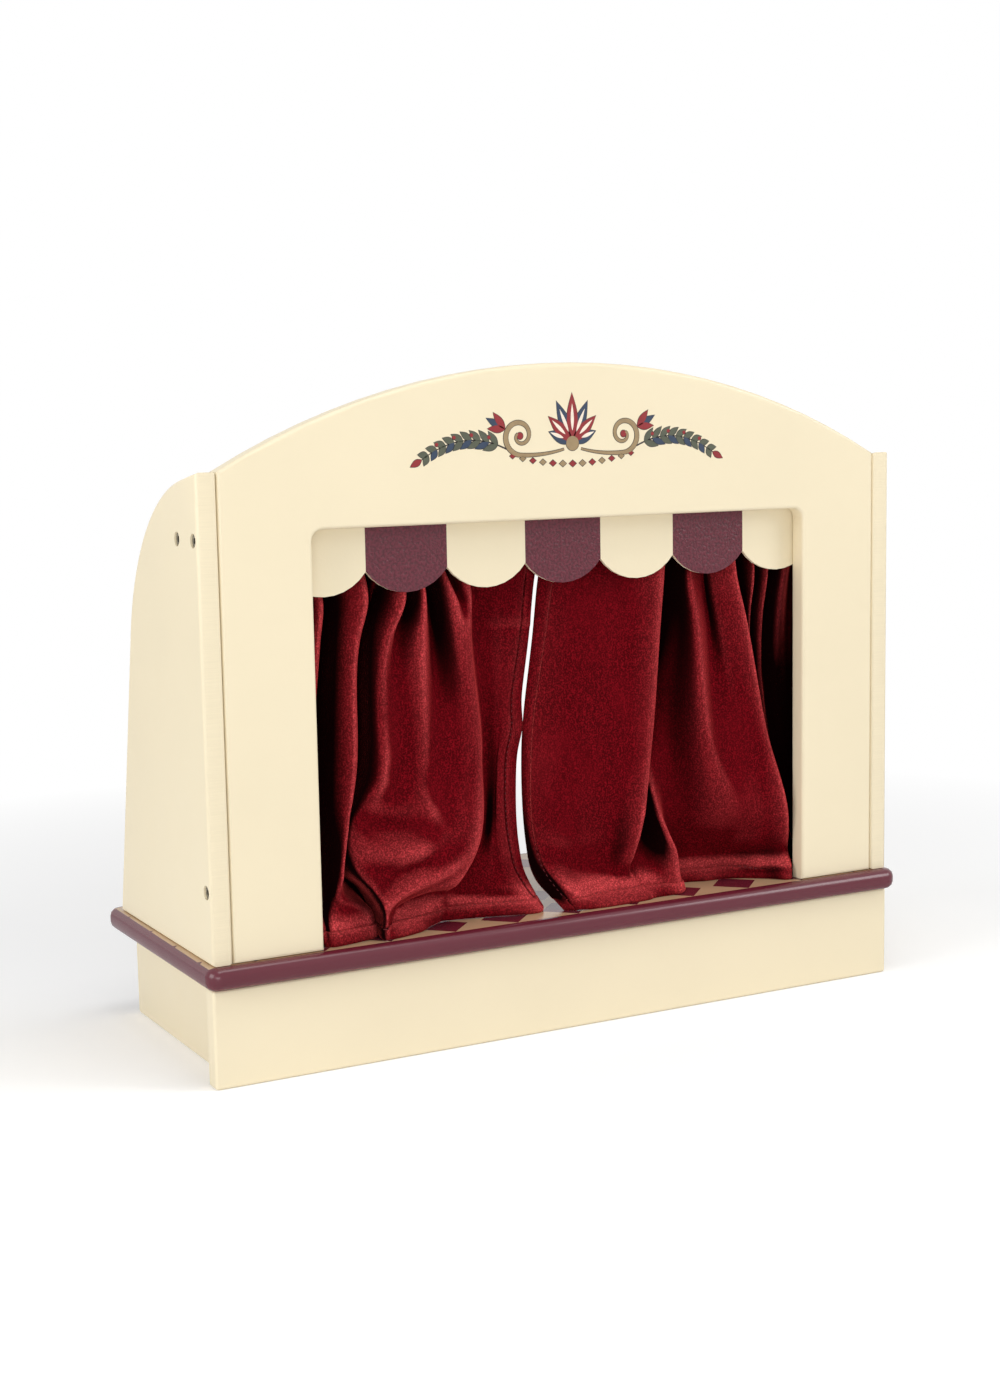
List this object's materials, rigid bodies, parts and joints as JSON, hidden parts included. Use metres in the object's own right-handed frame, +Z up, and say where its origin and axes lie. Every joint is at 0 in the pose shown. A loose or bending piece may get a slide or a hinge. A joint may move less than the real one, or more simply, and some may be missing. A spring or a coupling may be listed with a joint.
{
  "type": "puppet theater",
  "caption": "Tabletop puppet theater of painted boards with an arched front, a scalloped valance and a pair of velvet curtains on a rod, open at the back.",
  "frame": {"origin": "on the floor, under the middle of the stage board", "axes": "+X to the right as the audience sees it, +Y from the front to the open back, +Z up"},
  "size_m": [0.585, 0.2234, 0.4894],
  "materials": {
    "cream_paint": "satin cream paint over fibreboard",
    "burgundy_paint": "satin burgundy paint over fibreboard",
    "valance_paint": "satin paint in alternate cream and burgundy scallops",
    "velvet": "deep red velvet with a short pile",
    "beech": "plain sanded beech",
    "screw_steel": "zinc plated steel"
  },
  "bodies": {
    "theater": {"plinth_front_board": "cream_paint", "plinth_side_left": "cream_paint", "plinth_side_right": "cream_paint", "stage_board": "burgundy_paint", "side_panel_left": "cream_paint", "side_panel_right": "cream_paint", "front_plate": "cream_paint", "valance_board": "valance_paint", "curtain_rod": "beech", "plate_screw_upper_left": "screw_steel", "plate_screw_lower_left": "screw_steel", "rod_screw_left": "screw_steel", "plate_screw_upper_right": "screw_steel", "plate_screw_lower_right": "screw_steel", "rod_screw_right": "screw_steel", "panel_screw_front_left": "screw_steel", "panel_screw_back_left": "screw_steel", "panel_screw_front_right": "screw_steel", "panel_screw_back_right": "screw_steel", "plate_dowel_left": "beech", "plate_dowel_right": "beech", "plinth_dowel_front_1": "beech", "plinth_dowel_front_2": "beech", "plinth_dowel_front_3": "beech", "plinth_dowel_left_1": "beech", "plinth_dowel_left_2": "beech", "plinth_dowel_right_1": "beech", "plinth_dowel_right_2": "beech", "corner_dowel_left_1": "beech", "corner_dowel_left_2": "beech", "corner_dowel_right_1": "beech", "corner_dowel_right_2": "beech"},
    "curtain_left": {"curtain_left": "velvet"},
    "curtain_right": {"curtain_right": "velvet"}
  },
  "joints": [
    {"name": "curtain_left_slide", "type": "slide", "parent": "theater", "child": "curtain_left", "axis": [-1, 0, 0], "range_m": [0, 0.185], "deforming": ["curtain_left"]},
    {"name": "curtain_right_slide", "type": "slide", "parent": "theater", "child": "curtain_right", "axis": [1, 0, 0], "range_m": [0, 0.185], "deforming": ["curtain_right"]}
  ]
}
